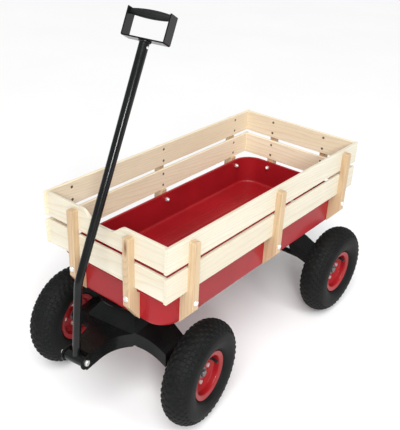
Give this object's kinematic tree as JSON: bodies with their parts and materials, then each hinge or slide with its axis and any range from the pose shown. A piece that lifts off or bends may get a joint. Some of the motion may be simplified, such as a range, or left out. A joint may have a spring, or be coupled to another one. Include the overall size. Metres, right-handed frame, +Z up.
{
  "type": "kids pull wagon",
  "caption": "Child's pull wagon: red steel tray with slatted wooden sides, steered front axle, cranked pull handle and pneumatic wheels.",
  "frame": {"origin": "middle of the wagon's overall footprint, on the ground plane under the wheels", "axes": "+X forward, the way the wagon is pulled; +Y to the wagon's left; +Z up"},
  "size_m": [0.9783, 0.496, 0.9181],
  "materials": {
    "tray_red": "gloss enamel",
    "rim_red": "gloss enamel",
    "slat_pine": "planed pine, clear lacquer",
    "stake_pine": "planed pine, clear lacquer",
    "black_paint": "gloss black",
    "zinc": "bright zinc plate",
    "dark_screw": "dark phosphate",
    "tyre_rubber": "moulded rubber",
    "grip_black": "fine grained",
    "nylon": "natural nylon"
  },
  "bodies": {
    "wagon_body": {"tray": "tray_red", "left_slat_lower": "slat_pine", "left_slat_upper": "slat_pine", "right_slat_lower": "slat_pine", "right_slat_upper": "slat_pine", "front_slat_lower": "slat_pine", "front_slat_upper": "slat_pine", "rear_slat_lower": "slat_pine", "rear_slat_upper": "slat_pine", "stake_left_rear": "stake_pine", "stake_right_rear": "stake_pine", "stake_left_middle": "stake_pine", "stake_right_middle": "stake_pine", "stake_left_front": "stake_pine", "stake_right_front": "stake_pine", "stake_front_left": "stake_pine", "stake_rear_left": "stake_pine", "stake_front_right": "stake_pine", "stake_rear_right": "stake_pine", "slat_screws": "dark_screw", "stake_bolts": "zinc", "stake_nuts": "zinc", "chassis_bolts": "zinc", "chassis_nuts": "zinc", "turntable_plate": "black_paint", "turntable_wear_ring": "nylon", "kingpin": "zinc", "kingpin_nut": "zinc", "rear_bolster": "black_paint", "rear_axle": "black_paint", "rear_axle_caps": "zinc"},
    "front_carriage": {"front_bolster": "black_paint", "front_axle": "black_paint", "front_axle_caps": "zinc", "yoke_bolt": "zinc", "yoke_nut": "zinc"},
    "pull_handle": {"handle_tube": "black_paint", "handle_knuckle": "black_paint", "grip_loop": "black_paint", "grip_barrel": "grip_black"},
    "front_left_wheel": {"front_left_tyre": "tyre_rubber", "front_left_rim_outer": "rim_red", "front_left_rim_inner": "rim_red", "front_left_bearings": "zinc", "front_left_rim_bolts": "zinc"},
    "front_right_wheel": {"front_right_tyre": "tyre_rubber", "front_right_rim_outer": "rim_red", "front_right_rim_inner": "rim_red", "front_right_bearings": "zinc", "front_right_rim_bolts": "zinc"},
    "rear_left_wheel": {"rear_left_tyre": "tyre_rubber", "rear_left_rim_outer": "rim_red", "rear_left_rim_inner": "rim_red", "rear_left_bearings": "zinc", "rear_left_rim_bolts": "zinc"},
    "rear_right_wheel": {"rear_right_tyre": "tyre_rubber", "rear_right_rim_outer": "rim_red", "rear_right_rim_inner": "rim_red", "rear_right_bearings": "zinc", "rear_right_rim_bolts": "zinc"}
  },
  "joints": [
    {"name": "steering", "type": "hinge", "parent": "wagon_body", "child": "front_carriage", "pos_m": [0.27223, 0, 0.2647], "axis": [0, 0, 1], "range_deg": [-35.7, 20.3]},
    {"name": "handle_fold", "type": "hinge", "parent": "front_carriage", "child": "pull_handle", "pos_m": [0.46943, 0.02666, 0.2155], "axis": [-0.134, 0.991, 0], "range_deg": [-3, 114]},
    {"name": "front_left_roll", "type": "hinge", "parent": "front_carriage", "child": "front_left_wheel", "pos_m": [0.24575, 0.19582, 0.13], "axis": [-0.134, 0.991, 0], "continuous": true},
    {"name": "front_right_roll", "type": "hinge", "parent": "front_carriage", "child": "front_right_wheel", "pos_m": [0.2987, -0.19582, 0.13], "axis": [-0.134, 0.991, 0], "continuous": true},
    {"name": "rear_left_roll", "type": "hinge", "parent": "wagon_body", "child": "rear_left_wheel", "pos_m": [-0.35917, 0.1976, 0.13], "axis": [0, 1, 0], "continuous": true},
    {"name": "rear_right_roll", "type": "hinge", "parent": "wagon_body", "child": "rear_right_wheel", "pos_m": [-0.35917, -0.1976, 0.13], "axis": [0, 1, 0], "continuous": true}
  ]
}
